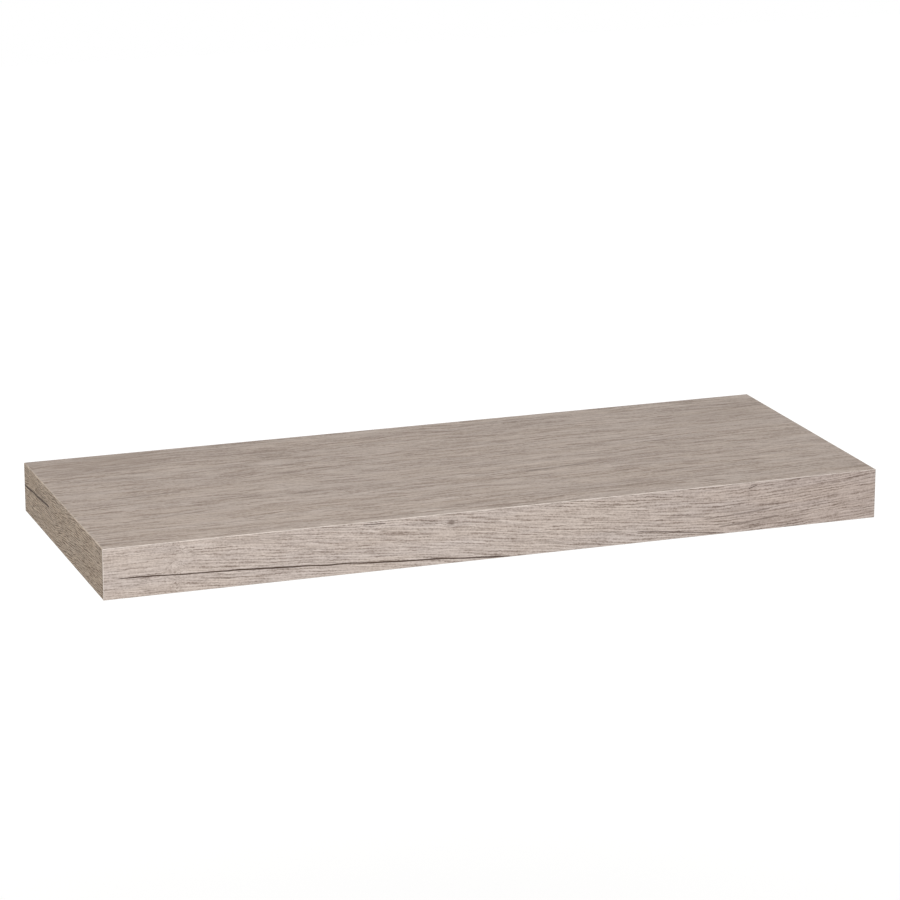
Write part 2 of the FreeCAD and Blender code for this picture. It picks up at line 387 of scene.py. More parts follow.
def oak_print(given):
    """Printed oak with its grain along X. Shade is a half in plain wood and less where it is dark."""
    plain_wood, pale_lift, ring_depth = 0.52, 0.14, 0.22
    place = vector_calc("ADD", given.position, scaled((731, 173, 0), given.seed))
    slow = swing(noise(place, (95, 24, 1), detail=1), 1)
    quick = swing(noise(place, (18, 6, 1), 3), 0.2)
    crumple = swing(noise(place, (2.4, 2.0, 1), 11, 1), 2)
    sway = calc("MULTIPLY_ADD", slow + quick, given.waviness, crumple * given.crinkle)
    grain = vector_calc("ADD", place, joined(0, sway))
    x, y, _ = split(grain)
    tone = swing(noise(grain, (150, 11, 1), 1, 3, 0.6), 0.8)
    streaks = swing(noise(grain, (60, 2.4, 1), 2, 3, 0.55), 0.9)
    bands = (tone + streaks) * given.bands
    thin = joined(x / given.pore_length, y / given.pore_pitch)
    threads = spread(noise(thin, (1, 1, 1), 4, 2, 0.6), 0.3, 0.7, -0.5, 0.5)
    mesh = swing(noise(scaled(grain, 1 / given.pore_pitch), (1.3, 1.1, 1), 5, 1), 1)
    phase = y / given.ring_pitch + swing(noise(grain, (160, 12, 1), 8), 2.2)
    ring = spread(calc("FRACT", phase), 0, 0.2, 1, 0)
    strong = spread(noise(grain, (80, 5, 1), 9, 3), 0.44, 0.64)
    rings = ring * strong * given.rings
    turns = y / given.line_pitch + swing(noise(grain, (70, 6, 1), 12), 2.6)
    turns = turns + swing(noise(grain, (14, 2.4, 1), 13), 0.8)
    wave = calc("MULTIPLY_ADD", calc("SINE", turns * math.tau), 0.5, 0.5)
    present = spread(noise(grain, (40, 2.6, 1), 14, 3), 0.34, 0.62, 0.35, 1)
    fine = (calc("POWER", wave, 2) - 0.3) * present * given.lines
    lines = swing(noise(thin, (1.6, 1.3, 1), 7), 1)
    broken = spread(noise(grain, (16, 1.4, 1), 5, 3, 0.6), 0.42, 0.6)
    crowd = spread(noise(grain, (90, 11, 1), 6, 3), 0.36, 0.64, 0.7, 1)
    pore_share = broken * crowd
    pores = spread(abs(lines), 0.008, 0.045, 1, 0) * pore_share
    pale = spread(lines, 0.03, 0.06) * spread(lines, 0.09, 0.14, 1, 0) * pore_share
    shade = plain_wood + bands + threads * given.threads + mesh * given.mesh + pale * pale_lift
    shade = shade - (rings * ring_depth + fine)
    return {"shade": shade, "pores": pores, "relief": threads - (pores + rings + fine)}


def drying_crack(given):
    """One long thin crack along X, which thins out towards both ends."""
    x, y, _ = split(given.position)
    run = x - given.start
    along = run / (given.end - given.start)
    path = calc("MULTIPLY_ADD", run, given.slope, given.height)
    path = calc("MULTIPLY_ADD", along * along, given.bend, path)
    place = joined(x, given.seed * 37)
    path = path + swing(noise(place, (22, 1, 1), 1, 3), 1.7)
    taper = spread(along, 0, 0.1) * spread(along, 0.9, 1, 1, 0)
    swell = spread(noise(place, (30, 1, 1), 4, 3), 0.34, 0.66, 0.8, 1.3)
    half = given.half_width * swell * spread(taper, 0, 1, 0.4, 1)
    outer = calc("MULTIPLY_ADD", half, 1.4, 0.05)
    mask = spread(abs(y - path), half * 0.55, outer, 1, 0)
    return {"crack": mask * spread(taper, 0, 0.25)}


def dark_patch(given):
    """A soft oval of darker wood, whose edge is drawn out along the grain."""
    x, y, _ = split(given.position)
    along = (x - given.middle_x) / given.reach_x
    across = (y - given.middle_y) / given.reach_y
    rough_edge = swing(noise(given.position, (30, 2.5, 1), 5, 3, 0.6), 1.8)
    oval = spread(distance(along, across) + rough_edge, 0.2, 1.2, 1, 0)
    streaky = spread(noise(given.position, (22, 1.3, 1), 6, 3), 0.38, 0.6, 0.2, 1)
    return {"patch": oval * streaky}


def knot(given):
    """A small knot. Push is how far it moves the grain aside, and Knot is its dark heart."""
    x, y, _ = split(given.position)
    across = (y - given.knot_y) / given.reach
    along = (x - given.knot_x) / (given.reach * 1.6)
    away = distance(along, across)
    push = calc("SIGN", across) * spread(away, 0, 2.2, 1, 0) * given.reach * -0.45
    heart = away / given.heart + swing(noise(given.position, (1.5, 1.5, 1), 2), 0.7)
    return {"push": push, "knot": spread(heart, 0.35, 1.1, 1, 0)}


def worked_metal(given):
    """The marks that drawing, rolling and handling leave on metal, with the draw lines along the grain."""
    drawn = vector_calc("MULTIPLY", given.position, given.grain)
    marks = spread(noise(drawn, (0.6, 0.6, 0.6), 3, 1), 0.64, 0.72)
    rare = spread(noise(given.position, (9, 9, 9), 4), 0.5, 0.62)
    return {
        "lines": noise(drawn, (1, 1, 1), 1, 3, 0.6),
        "mottle": noise(given.position, (14, 14, 14), 2, 3),
        "scratches": marks * rare,
    }


def wood_chips(given):
    """Pressed chips that lie flat. Tone changes from chip to chip, and Gap is 1 between them."""
    wobble = joined(*(swing(noise(given.position, (5, 5, 2), seed), 3) for seed in (1, 2)))
    place = vector_calc("ADD", given.position, wobble)
    flat = vector_calc("MULTIPLY", place, (1, 1, 3.6))
    cells = {"Vector": scaled(flat, 1 / given.chip_size), "Scale": 1.0}
    chips = output_of("ShaderNodeTexVoronoi", cells, "Color")
    edges = output_of("ShaderNodeTexVoronoi", cells, "Distance", feature="DISTANCE_TO_EDGE")
    return {
        "tone": output_of("ShaderNodeSeparateColor", {0: chips}),
        "gap": spread(edges, 0, 0.07, 1, 0),
        "grain": noise(place, (4, 0.5, 0.3), 3, 3, 0.6),
    }


def pressed_fibres(given):
    """Short fibres that lie every way in the sheet's plane."""
    place = scaled(given.position, given.fineness)
    layers = []
    for turn in range(3):
        turned = output_of("ShaderNodeMapping", {"Vector": place, "Rotation": (0, 0, turn * 1.05)})
        layers.append(noise(turned, (4.5, 0.5, 0.5), turn))
    fibres = calc("MAXIMUM", calc("MAXIMUM", layers[0], layers[1]), layers[2])
    return {
        "fibres": spread(fibres, 0.5, 0.75),
        "clouds": noise(given.position, (14, 14, 6), 5, 4, 0.6),
    }


# Materials


def new_material(name):
    """A material with one Principled shader, and the place of each point on the shelf in millimetres."""
    material = bpy.data.materials.new(name)
    material.use_nodes = True
    tree = material.node_tree
    tree.nodes.clear()
    shader = tree.nodes.new("ShaderNodeBsdfPrincipled")
    output = tree.nodes.new("ShaderNodeOutputMaterial")
    tree.links.new(shader.outputs[0], output.inputs["Surface"])
    return material, scaled(output_of("ShaderNodeTexCoord", {}, "Object", tree), PER_METRE)


def finish(material, base, roughness, height, depth, metallic=0.0, specular=0.5):
    """Feeds the shader. Height is a value over the surface, and depth what it stands for in millimetres."""
    inputs = material.node_tree.nodes["Principled BSDF"].inputs
    feed(inputs["Base Color"], base)
    feed(inputs["Roughness"], roughness)
    inputs["Metallic"].default_value = metallic
    inputs["Specular IOR Level"].default_value = specular
    relief = {"Height": height, "Distance": depth * MM, "Strength": 0.6}
    feed(inputs["Normal"], output_of("ShaderNodeBump", relief, "Normal"))
    return material


def wood_colour(oak, settings, place, pore_share):
    """The printed wood's colour, from the masks of the oak print and the settings' colours."""
    stops = ((0.06, settings.pore), (0.3, settings.dark), (0.5, settings.middle), (0.68, settings.light),
             (0.92, settings.pale))
    hue = spread(noise(place, (70, 12, 1), 15, 3, 0.6), 0.35, 0.65)
    base = mixed(1, graded(oak.shade, stops), mixed(hue, warm_tint, cool_tint), "MULTIPLY")
    return mixed(oak.pores * pore_share, base, settings.pore)


def marked(base, face, dark, crack_colour, cracks=(), patches=()):
    """Adds dark patches and cracks to the print on a face."""
    for *parts, share in patches:
        given = dict(zip(patch_parts, parts))
        patch = use_effect(dark_patch, position=face, **given).patch
        base = mixed(patch * share, base, dark)
    for *parts, share in cracks:
        given = dict(zip(crack_parts, parts))
        crack = use_effect(drying_crack, position=face, seed=given["start"], **given).crack
        base = mixed(crack * share, base, crack_colour)
    return base


def foil_material(name, face, seed, cracks=(), patches=()):
    """Printed foil: oak on its outer face and bare paper where it is cut."""
    settings = bpy.context.scene.shelf_foil
    material, place = new_material(name)
    x, y, z = split(place)
    flat = joined(x, y)
    oak = use_effect(oak_print, position=flat, seed=seed, pore_pitch=settings.pore_pitch,
                     pore_length=settings.pore_length, waviness=14, crinkle=0.5, bands=0.7, threads=0.4,
                     mesh=0.5, rings=0.9, ring_pitch=15, lines=0.16, line_pitch=3)
    base = wood_colour(oak, settings, flat, 0.55)
    base = marked(base, flat, settings.dark, settings.pore, cracks, patches)
    printed = spread(z * face, half_height - 0.1, half_height - 0.05)
    base = mixed(printed, settings.paper, base)
    roughness = calc("MULTIPLY_ADD", oak.pores, 0.15, 0.45)
    return finish(material, base, roughness, oak.relief, 0.03, specular=0.25)


def finish_band(material, base, oak, depth, along, scraped_share):
    """Finishes a band: its core behind the print, and between them a scraped edge, brightened into a painted
    highlight, that changes along it.
    """
    settings = bpy.context.scene.shelf_edging
    base = mixed(spread(depth, 0.3, 0.45), base, settings.core)
    # The scraped edge is paler plastic, brightened into a painted highlight along the band's edge
    scraped = spread(depth, 0.01, 0.05) * spread(depth, 0.16, 0.3, 1, 0)
    uneven = noise(joined(along), (9, 1, 1), 2, 3, 0.6)
    uneven = spread(uneven, 0.36, 0.5, 0.6 * scraped_share, scraped_share)
    base = mixed(scraped * uneven, base, settings.scraped)
    roughness = calc("MULTIPLY_ADD", oak.pores, 0.12, 0.6)
    return finish(material, base, roughness, oak.relief, 0.05, specular=0.15)


def front_material():
    """The front band: oak with its grain along the board, cracks, a knot, trimmed edges with a painted
    highlight, and painted shade towards the right.
    """
    settings = bpy.context.scene.shelf_edging
    material, place = new_material("front_edging")
    x, y, z = split(place)
    face = joined(x, z)
    swirl = use_effect(knot, position=face, knot_x=-40, knot_y=12, reach=3, heart=0.8)
    # The grain falls towards the right, rises again over the last stretch, and is crumpled at one place
    crumple_place = -248
    fall = spread(x, -280, 260, 0, 42)
    rise = spread(x, 140, 400, 0, -15)
    crumpled = spread(abs(x - crumple_place), 3, 13, 2, 0.5)
    lines = spread(x, -230, -90, 0.24, 0.34)
    oak = use_effect(oak_print, position=joined(x, z + fall + rise + swirl.push), seed=1,
                     pore_pitch=settings.pore_pitch, pore_length=settings.pore_length, waviness=5,
                     crinkle=crumpled, bands=0.18, threads=0.24, mesh=0.5, rings=0.3, ring_pitch=3.8,
                     lines=lines, line_pitch=2.2)
    base = wood_colour(oak, settings, face, 0.45)
    base = mixed(swirl.knot * 0.7, base, settings.pore)
    base = marked(base, face, settings.dark, settings.crack, front_cracks, front_patches)
    # Painted shade: the front darkens towards the right, where the light falls off
    base = mixed(spread(x, 50, 290), base, mixed(1, base, settings.right_tint, "MULTIPLY"))
    return finish_band(material, base, oak, y - front_face, x, 0.75)


def end_material():
    """The end bands: oak with its grain from back to front, one crack, trimmed edges with a painted
    highlight, and painted warm shade over the print.
    """
    settings = bpy.context.scene.shelf_edging
    material, place = new_material("end_edging")
    x, y, z = split(place)
    turned = y * -1
    seed = calc("MULTIPLY_ADD", calc("SIGN", x), 2, 5)
    climb = spread(turned, 70, 210, 0, -11)
    drawn_in = joined(turned * 2.2, z + climb)
    oak = use_effect(oak_print, position=drawn_in, seed=seed, pore_pitch=settings.pore_pitch * 0.7,
                     pore_length=settings.pore_length, waviness=6, crinkle=0.5, bands=0.05, threads=0.65,
                     mesh=1, rings=0.1, ring_pitch=4.3, lines=0.75, line_pitch=1.6)
    base = wood_colour(oak, settings, drawn_in, 0.6)
    # Painted shade: the ends' print is darker and warmer than the front's
    base = mixed(1, base, settings.end_tint, "MULTIPLY")
    cracked = marked(base, joined(turned, z), settings.dark, settings.crack, end_cracks)
    base = mixed(calc("LESS_THAN", x, 0), base, cracked)
    return finish_band(material, base, oak, half_length - abs(x), y, 0.15)


def fibreboard_material():
    """Fibreboard: fine fibres, denser and darker towards its two faces."""
    settings = bpy.context.scene.shelf_core
    material, place = new_material("fibreboard")
    _, _, z = split(place)
    fibres = use_effect(pressed_fibres, position=place, fineness=2.2)
    off_middle = abs(abs(z) - (panel_inner + panel_outer) / 2)
    dense = spread(off_middle, 0.7, 1.5, 0, 0.75)
    base = mixed(dense, settings.board, settings.board_dark)
    base = mixed(spread(fibres.clouds, 0.35, 0.7, 0, 0.35), base, settings.board_dark)
    base = mixed(fibres.fibres * 0.3, base, settings.chip_pale)
    return finish(material, base, 0.85, fibres.fibres, 0.08, specular=0.2)


def particleboard_material():
    """Particleboard: coarse chips in the middle and fine ones near its faces."""
    settings = bpy.context.scene.shelf_core
    material, place = new_material("particleboard")
    _, _, z = split(place)
    coarse = use_effect(wood_chips, position=place, chip_size=3.6)
    fine = use_effect(wood_chips, position=place, chip_size=1.2)
    near_face = spread(abs(z), panel_inner - 5, panel_inner - 2.5)
    tone, gap, grain = (
        output_of("ShaderNodeMix", {0: near_face, 2: getattr(coarse, mask), 3: getattr(fine, mask)})
        for mask in ("tone", "gap", "grain")
    )
    base = mixed(spread(tone, 0.1, 0.95), settings.chip_pale, settings.chip_dark)
    base = mixed(spread(grain, 0.5, 0.8, 0, 0.4), base, settings.chip_dark)
    base = mixed(gap * 0.45, base, settings.chip_gap)
    return finish(material, base, 0.82, swing(grain, 0.5) - gap, 0.15, specular=0.2)


def kraft_material():
    """The honeycomb's brown paper."""
    settings = bpy.context.scene.shelf_core
    material, place = new_material("kraft_paper")
    fibres = use_effect(pressed_fibres, position=place, fineness=1.2)
    base = mixed(spread(fibres.clouds, 0.35, 0.68), settings.kraft, settings.kraft_dark)
    base = mixed(fibres.fibres * 0.5, base, settings.kraft_dark)
    return finish(material, base, 0.88, fibres.fibres, 0.05, specular=0.2)


def zinc_material(name, grain):
    """Bright zinc plate over drawn or rolled steel."""
    settings = bpy.context.scene.shelf_bracket
    material, place = new_material(name)
    marks = use_effect(worked_metal, position=place, grain=grain)
    base = mixed(spread(marks.mottle, 0.3, 0.7, 0, 0.22), settings.zinc, settings.zinc_dark)
    base = mixed(marks.scratches * 0.35, base, settings.zinc_dark)
    roughness = 0.36 + swing(marks.lines, 0.14) + swing(marks.mottle, 0.1) + marks.scratches * 0.15
    return finish(material, base, roughness, marks.lines - marks.scratches, 0.02, metallic=1)


def yellow_zinc_material():
    """Yellow passivated zinc with rosy and greenish patches, worn pale along the thread."""
    settings = bpy.context.scene.shelf_fasteners
    material, place = new_material("yellow_zinc")
    x, y, z = split(place)
    marks = use_effect(worked_metal, position=place, grain=(0.8, 2.5, 2.5))
    stops = ((0.3, settings.green), (0.46, settings.yellow), (0.58, settings.yellow), (0.7, settings.rose))
    base = graded(noise(place, (5, 5, 5), 6, 3), stops)
    axis = (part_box("wall_screws")[1].x - settings.head_radius) * PER_METRE
    crest = settings.screw_crest * PER_METRE
    rubbed = spread(distance(abs(x) - axis, z), crest - 0.25, crest) * spread(y, -1, 4)
    base = mixed(rubbed * 0.5, base, bpy.context.scene.shelf_bracket.zinc)
    roughness = 0.27 + swing(marks.lines, 0.25) + swing(marks.mottle, 0.3)
    return finish(material, base, roughness, marks.lines - marks.scratches, 0.02, metallic=1)


def black_steel_material():
    """Black oxide that has rubbed off along the thread."""
    settings = bpy.context.scene.shelf_fasteners
    material, place = new_material("black_steel")
    x, y, _ = split(place)
    marks = use_effect(worked_metal, position=place, grain=(2.5, 2.5, 0.8))
    low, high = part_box("right_locking_screw")
    axis = (low + high) / 2 * PER_METRE
    away = distance(abs(x) - axis.x, y - axis.y)
    crest = settings.lock_crest * PER_METRE
    rubbed = spread(away, crest - 0.2, crest) * spread(marks.mottle, 0.35, 0.6, 0.3, 1)
    base = mixed(spread(marks.mottle, 0.4, 0.75, 0, 0.25), settings.black, settings.worn)
    base = mixed(rubbed, base, settings.worn)
    roughness = 0.4 + swing(marks.lines, 0.3) - rubbed * 0.1
    return finish(material, base, roughness, marks.lines - marks.scratches, 0.015, metallic=0.85)


def alloy_material():
    """Tumbled zinc alloy with small dents."""
    settings = bpy.context.scene.shelf_fasteners
    material, place = new_material("zinc_alloy")
    marks = use_effect(worked_metal, position=place, grain=(1.4, 1.4, 1.4))
    dents = noise(place, (0.7, 0.7, 0.7), 8, 3, 0.6)
    base = mixed(spread(marks.mottle, 0.35, 0.7), settings.alloy, settings.alloy_dark)
    roughness = 0.36 + swing(dents, 0.3) + marks.scratches * 0.2
    return finish(material, base, roughness, dents - marks.scratches, 0.03, metallic=1)


def nylon_material():
    """Moulded nylon with a fine skin and a faint parting line."""
    settings = bpy.context.scene.shelf_fasteners
    material, place = new_material("grey_nylon")
    _, _, z = split(place)
    skin = noise(place, (0.6, 0.6, 0.6), 3, 3, 0.6)
    clouds = noise(place, (7, 7, 7), 4, 3)
    parting = spread(abs(z), 0.04, 0.12, 1, 0)
    darker = tuple(part * 0.75 for part in settings.nylon)
    base = mixed(spread(clouds, 0.3, 0.7, 0, 0.6), settings.nylon, darker)
    base = mixed(parting * 0.4, base, darker)
    return finish(material, base, 0.45 + swing(skin, 0.3), skin + parting, 0.04)


def dress(piece, material):
    """Gives a piece one material."""
    piece.data.materials.clear()
    piece.data.materials.append(material)


def dress_nodes(material, *names):
    for name in names:
        dress(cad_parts[name], material)


# Modelling helpers


def choose(piece):
    """Selects one piece alone and makes it active."""
    bpy.ops.object.select_all(action="DESELECT")
    bpy.context.view_layer.objects.active = piece
    piece.select_set(True)


def edit(piece):
    """Opens one piece in edit mode with all of it selected."""
    choose(piece)
    bpy.ops.object.mode_set(mode="EDIT")
    bpy.ops.mesh.select_mode(type="VERT")
    bpy.ops.mesh.select_all(action="SELECT")


def close_edit():
    bpy.ops.object.mode_set(mode="OBJECT")


def pick(piece, test, kind="EDGE"):
    """Selects the edges or faces of a piece, in edit mode, all of whose corners pass a test."""
    bpy.ops.mesh.select_mode(type=kind)
    bpy.ops.mesh.select_all(action="DESELECT")
    close_edit()
    corners = piece.data.vertices
    for part in (piece.data.edges if kind == "EDGE" else piece.data.polygons):
        part.select = all(test(corners[index].co) for index in part.vertices)
    bpy.ops.object.mode_set(mode="EDIT")


def extrude(shift):
    bpy.ops.mesh.extrude_region_move(TRANSFORM_OT_translate={"value": shift})


def tidy_faces():
    """Joins doubles and turns the faces outwards, in edit mode."""
    bpy.ops.mesh.select_all(action="SELECT")
    bpy.ops.mesh.remove_doubles(threshold=0.005 * MM)
    bpy.ops.mesh.normals_make_consistent(inside=False)


def apply_modifier(piece, kind, **settings):
    modifier = piece.modifiers.new(kind.lower(), kind)
    for name, value in settings.items():
        setattr(modifier, name, value)
    choose(piece)
    bpy.ops.object.modifier_apply(modifier=modifier.name)


def combine(piece, tool, operation):
    """Joins a tool to a piece or cuts it away, and removes the tool."""
    apply_modifier(piece, "BOOLEAN", operation=operation, object=tool, solver="EXACT")
    bpy.data.objects.remove(tool)


def place_piece(piece, place=(0, 0, 0), turn=(0, 0, 0)):
    """Moves and turns a piece, and leaves its place in its mesh."""
    choose(piece)
    piece.location = Vector(place) + piece.location
    piece.rotation_euler = turn
    bpy.ops.object.transform_apply(location=True, rotation=True, scale=True)


def smooth(piece):
    """Smooths a piece over its gentle edges and keeps its flat faces flat."""
    gentle = math.radians(35)
    choose(piece)
    bpy.ops.object.shade_smooth_by_angle(angle=gentle)
    apply_modifier(piece, "WEIGHTED_NORMAL", keep_sharp=True)


def duplicate(piece, name, shift):
    """A copy with its own mesh, moved over."""
    choose(piece)
    bpy.ops.object.duplicate()
    copy = bpy.context.object
    copy.name = name
    place_piece(copy, shift)
    return copy


def stand_in(piece, body, slot, *nodes):
    """Puts a finished piece in the place of packed ones."""
    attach(piece, body)
    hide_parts(*nodes)


def new_primitive(name, add, **settings):
    """A primitive at its place, with the place left in its mesh."""
    bpy.ops.object.select_all(action="DESELECT")
    add(**settings)
    piece = bpy.context.object
    piece.name = name
    place_piece(piece)
    return piece


def merged_copy(node, name):
    """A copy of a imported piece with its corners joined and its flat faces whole."""
    piece = bpy.data.objects.new(name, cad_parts[node].data.copy())
    bpy.context.scene.collection.objects.link(piece)
    edit(piece)
    bpy.ops.mesh.customdata_custom_splitnormals_clear()
    tidy_faces()
    bpy.ops.mesh.dissolve_limited(angle_limit=math.radians(0.5))
    close_edit()
    return piece


def thread(name, root, crest, pitch, height, steps):
    """A thread about Z, from nought up to a height: one profile that is wound up and cut off flat."""
    piece = new_primitive(name, bpy.ops.mesh.primitive_plane_add, size=pitch, location=(root, 0, -pitch))
    edit(piece)
    bpy.ops.mesh.merge(type="CENTER")
    flank_share, land_share = 0.7, 0.12
    depth = crest - root
    flank = depth * flank_share
    land = pitch * land_share
    for out, up in ((0, pitch - land - 2 * flank), (depth, flank), (0, land), (-depth, flank)):
        bpy.ops.mesh.extrude_vertices_move(TRANSFORM_OT_translate={"value": (out, 0, up)})
    close_edit()
    turns = math.ceil(height / pitch) + 2
    apply_modifier(piece, "SCREW", axis="Z", angle=math.tau, screw_offset=pitch, iterations=turns,
                   steps=steps, render_steps=steps, use_merge_vertices=True, merge_threshold=0.005 * MM)
    edit(piece)
    tidy_faces()
    for level, side in ((0, -1), (height, 1)):
        bpy.ops.mesh.select_all(action="SELECT")
        bpy.ops.mesh.bisect(plane_co=(0, 0, level), plane_no=(0, 0, side), use_fill=True, clear_outer=True,
                            threshold=0.001 * MM)
    tidy_faces()
    close_edit()
    return piece


def turn_down(piece, limit):
    """Narrows a turned piece: limit gives the share of its radius that is left at a height."""
    for corner in piece.data.vertices:
        share = limit(corner.co.z)
        corner.co.x *= share
        corner.co.y *= share


# Operators


class SHELF_OT_foils(bpy.types.Operator):
    """Prints the foils on the top and the underside"""
    bl_idname = "shelf.foils"
    bl_label = "Decor foils"

    def execute(self, context):
        dress_nodes(foil_material("top_foil", 1, 2, top_cracks, top_patches), "top_decor_foil")
        dress_nodes(foil_material("bottom_foil", -1, 9), "bottom_decor_foil")
        return {"FINISHED"}


class SHELF_OT_edging(bpy.types.Operator):
    """Prints the edge bands on the front and the ends"""
    bl_idname = "shelf.edging"
    bl_label = "Edge bands"

    def execute(self, context):
        dress_nodes(front_material(), "front_edge_band")
        dress_nodes(end_material(), "left_edge_band", "right_edge_band")
        return {"FINISHED"}


class SHELF_OT_core(bpy.types.Operator):
    """Gives the panels, the rails and the honeycomb their raw finishes"""
    bl_idname = "shelf.core"
    bl_label = "Hollow core"

    def execute(self, context):
        dress_nodes(fibreboard_material(), "top_panel", "bottom_panel")
        dress_nodes(particleboard_material(), "front_rail", "back_rail", "left_end_rail", "right_end_rail",
                    "left_cross_rail", "right_cross_rail")
        dress_nodes(kraft_material(), "honeycomb_left", "honeycomb_centre", "honeycomb_right")
        return {"FINISHED"}


class SHELF_OT_bracket(bpy.types.Operator):
    """Breaks the sharp edges of the wall bar and its rods and plates them"""
    bl_idname = "shelf.bracket"
    bl_label = "Wall bracket"

    def execute(self, context):
        width = context.scene.shelf_bracket.edge_break
        rolled = zinc_material("zinc_bar", (0.02, 2.5, 2.5))
        drawn = zinc_material("zinc_rod", (2.5, 0.02, 2.5))
        for node, material in {"wall_bar": rolled, "left_rod": drawn, "right_rod": drawn}.items():
            piece = merged_copy(node, "plated_" + node)
            apply_modifier(piece, "BEVEL", width=width, segments=2, limit_method="ANGLE",
                           angle_limit=math.radians(40))
            smooth(piece)
            dress(piece, material)
            stand_in(piece, "wall_bracket", "zinc_plated_steel", node)
        return {"FINISHED"}


class SHELF_OT_wall_screws(bpy.types.Operator):
    """Threads the two wall screws and cuts their cross recesses"""
    bl_idname = "shelf.wall_screws"
    bl_label = "Wall screws"

    def execute(self, context):
        settings = context.scene.shelf_fasteners
        right = wall_screw(settings)
        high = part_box("wall_screws")[1]
        axis = high.x - settings.head_radius
        place_piece(right, (axis, high.y - settings.screw_length, 0), (-math.pi / 2, 0, 0))
        smooth(right)
        dress(right, yellow_zinc_material())
        left = duplicate(right, "left_wall_screw", (-2 * axis, 0, 0))
        for piece in (left, right):
            stand_in(piece, "wall_bracket", "yellow_zinc_steel", "wall_screws")
        return {"FINISHED"}


def wall_screw(settings):
    """A pan-head screw with a cross recess, upright with its head's underside at nought and its tip up."""
    head, radius, pitch = settings.head_height, settings.head_radius, settings.screw_pitch
    head_round, rim_break, same_level = 1.5 * MM, 0.2 * MM, 0.01 * MM
    screw = new_primitive("right_wall_screw", bpy.ops.mesh.primitive_circle_add, vertices=48, radius=radius,
                          fill_type="NGON", location=(0, 0, -head))
    edit(screw)
    extrude((0, 0, head))
    bpy.ops.mesh.inset(thickness=radius - settings.screw_crest)
    extrude((0, 0, settings.screw_shank))
    pick(screw, lambda corner: abs(corner.z + head) < same_level)
    bpy.ops.mesh.bevel(offset=head_round, segments=6, affect="EDGES")
    pick(screw, lambda corner: abs(corner.z) < same_level and corner.xy.length > radius * 0.9)
    bpy.ops.mesh.bevel(offset=rim_break, segments=2, affect="EDGES")
    tidy_faces()
    close_edit()
    start = settings.screw_shank - pitch
    threaded = settings.screw_length - start
    spiral = thread("screw_thread", settings.screw_root, settings.screw_crest, pitch, threaded,
                    settings.thread_steps)
    blunt, fade = 0.03, 0.12

    def limit(height):
        run_in = 1 - fade * max(0, min(1, (1.5 * pitch - height) / (0.5 * pitch)))
        point = max(blunt, min(1, (threaded - height) / settings.screw_point))
        return min(run_in, point)

    turn_down(spiral, limit)
    place_piece(spiral, (0, 0, start))
    combine(screw, spiral, "UNION")
    combine(screw, cross_recess(head), "DIFFERENCE")
    return screw


def cross_recess(head):
    """The tapered cross that a screwdriver fits, as a cutting tool that reaches down into the head."""
    width, arm, depth, overrun, taper = 1.1 * MM, 1.9 * MM, 1.3 * MM, 1 * MM, 0.5
    inside, outside = width * 0.49, width * 0.51
    tool = new_primitive("recess", bpy.ops.mesh.primitive_cube_add, size=width, location=(0, 0, -head))
    edit(tool)
    for side in (Vector((1, 0)), Vector((-1, 0)), Vector((0, 1)), Vector((0, -1))):
        across = Vector((-side.y, side.x))

        def at_end(corner, side=side, across=across):
            return corner.xy.dot(side) > inside and abs(corner.xy.dot(across)) < outside

        pick(tool, at_end, "FACE")
        extrude((side.x * arm, side.y * arm, 0))
    pick(tool, lambda corner: corner.z > -head, "FACE")
    bpy.ops.transform.translate(value=(0, 0, depth))
    bpy.ops.transform.resize(value=(taper, taper, 1), center_override=(0, 0, 0))
    pick(tool, lambda corner: corner.z < -head, "FACE")
    bpy.ops.transform.translate(value=(0, 0, -overrun))
    tidy_faces()
    close_edit()
    return tool


class SHELF_OT_wall_plugs(bpy.types.Operator):
    """Gives the wall plugs their moulded nylon"""
    bl_idname = "shelf.wall_plugs"
    bl_label = "Wall plugs"

    def execute(self, context):
        dress_nodes(nylon_material(), "wall_plugs")
        return {"FINISHED"}


class SHELF_OT_locks(bpy.types.Operator):
    """Threads the locking screws and the inserts that they run in"""
    bl_idname = "shelf.locks"
    bl_label = "Locking screws"

    def execute(self, context):
        settings = context.scene.shelf_fasteners
        low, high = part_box("right_locking_screw")
        axis = (low + high) / 2
        right = locking_screw(settings, high.z - low.z)
        place_piece(right, (axis.x, axis.y, low.z))
        smooth(right)
        dress(right, black_steel_material())
        left = duplicate(right, "left_lock_screw", (-2 * axis.x, 0, 0))
        stand_in(left, "left_lock", "black_steel", "left_locking_screw")
        stand_in(right, "right_lock", "black_steel", "right_locking_screw")
        alloy = alloy_material()
        for node, side in {"left_lock_insert": -1, "right_lock_insert": 1}.items():
            low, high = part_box(node)
            insert = merged_copy(node, "threaded_" + node)
            reach = high.z - low.z + 2 * settings.lock_pitch
            cutter = thread("insert_thread", settings.lock_crest, settings.groove_crest, settings.lock_pitch,
                            reach, settings.thread_steps)
            place_piece(cutter, (side * axis.x, axis.y, low.z - settings.lock_pitch))
            combine(insert, cutter, "DIFFERENCE")
            smooth(insert)
            dress(insert, alloy)
            stand_in(insert, "shelf_board", "zinc_alloy", node)
        return {"FINISHED"}


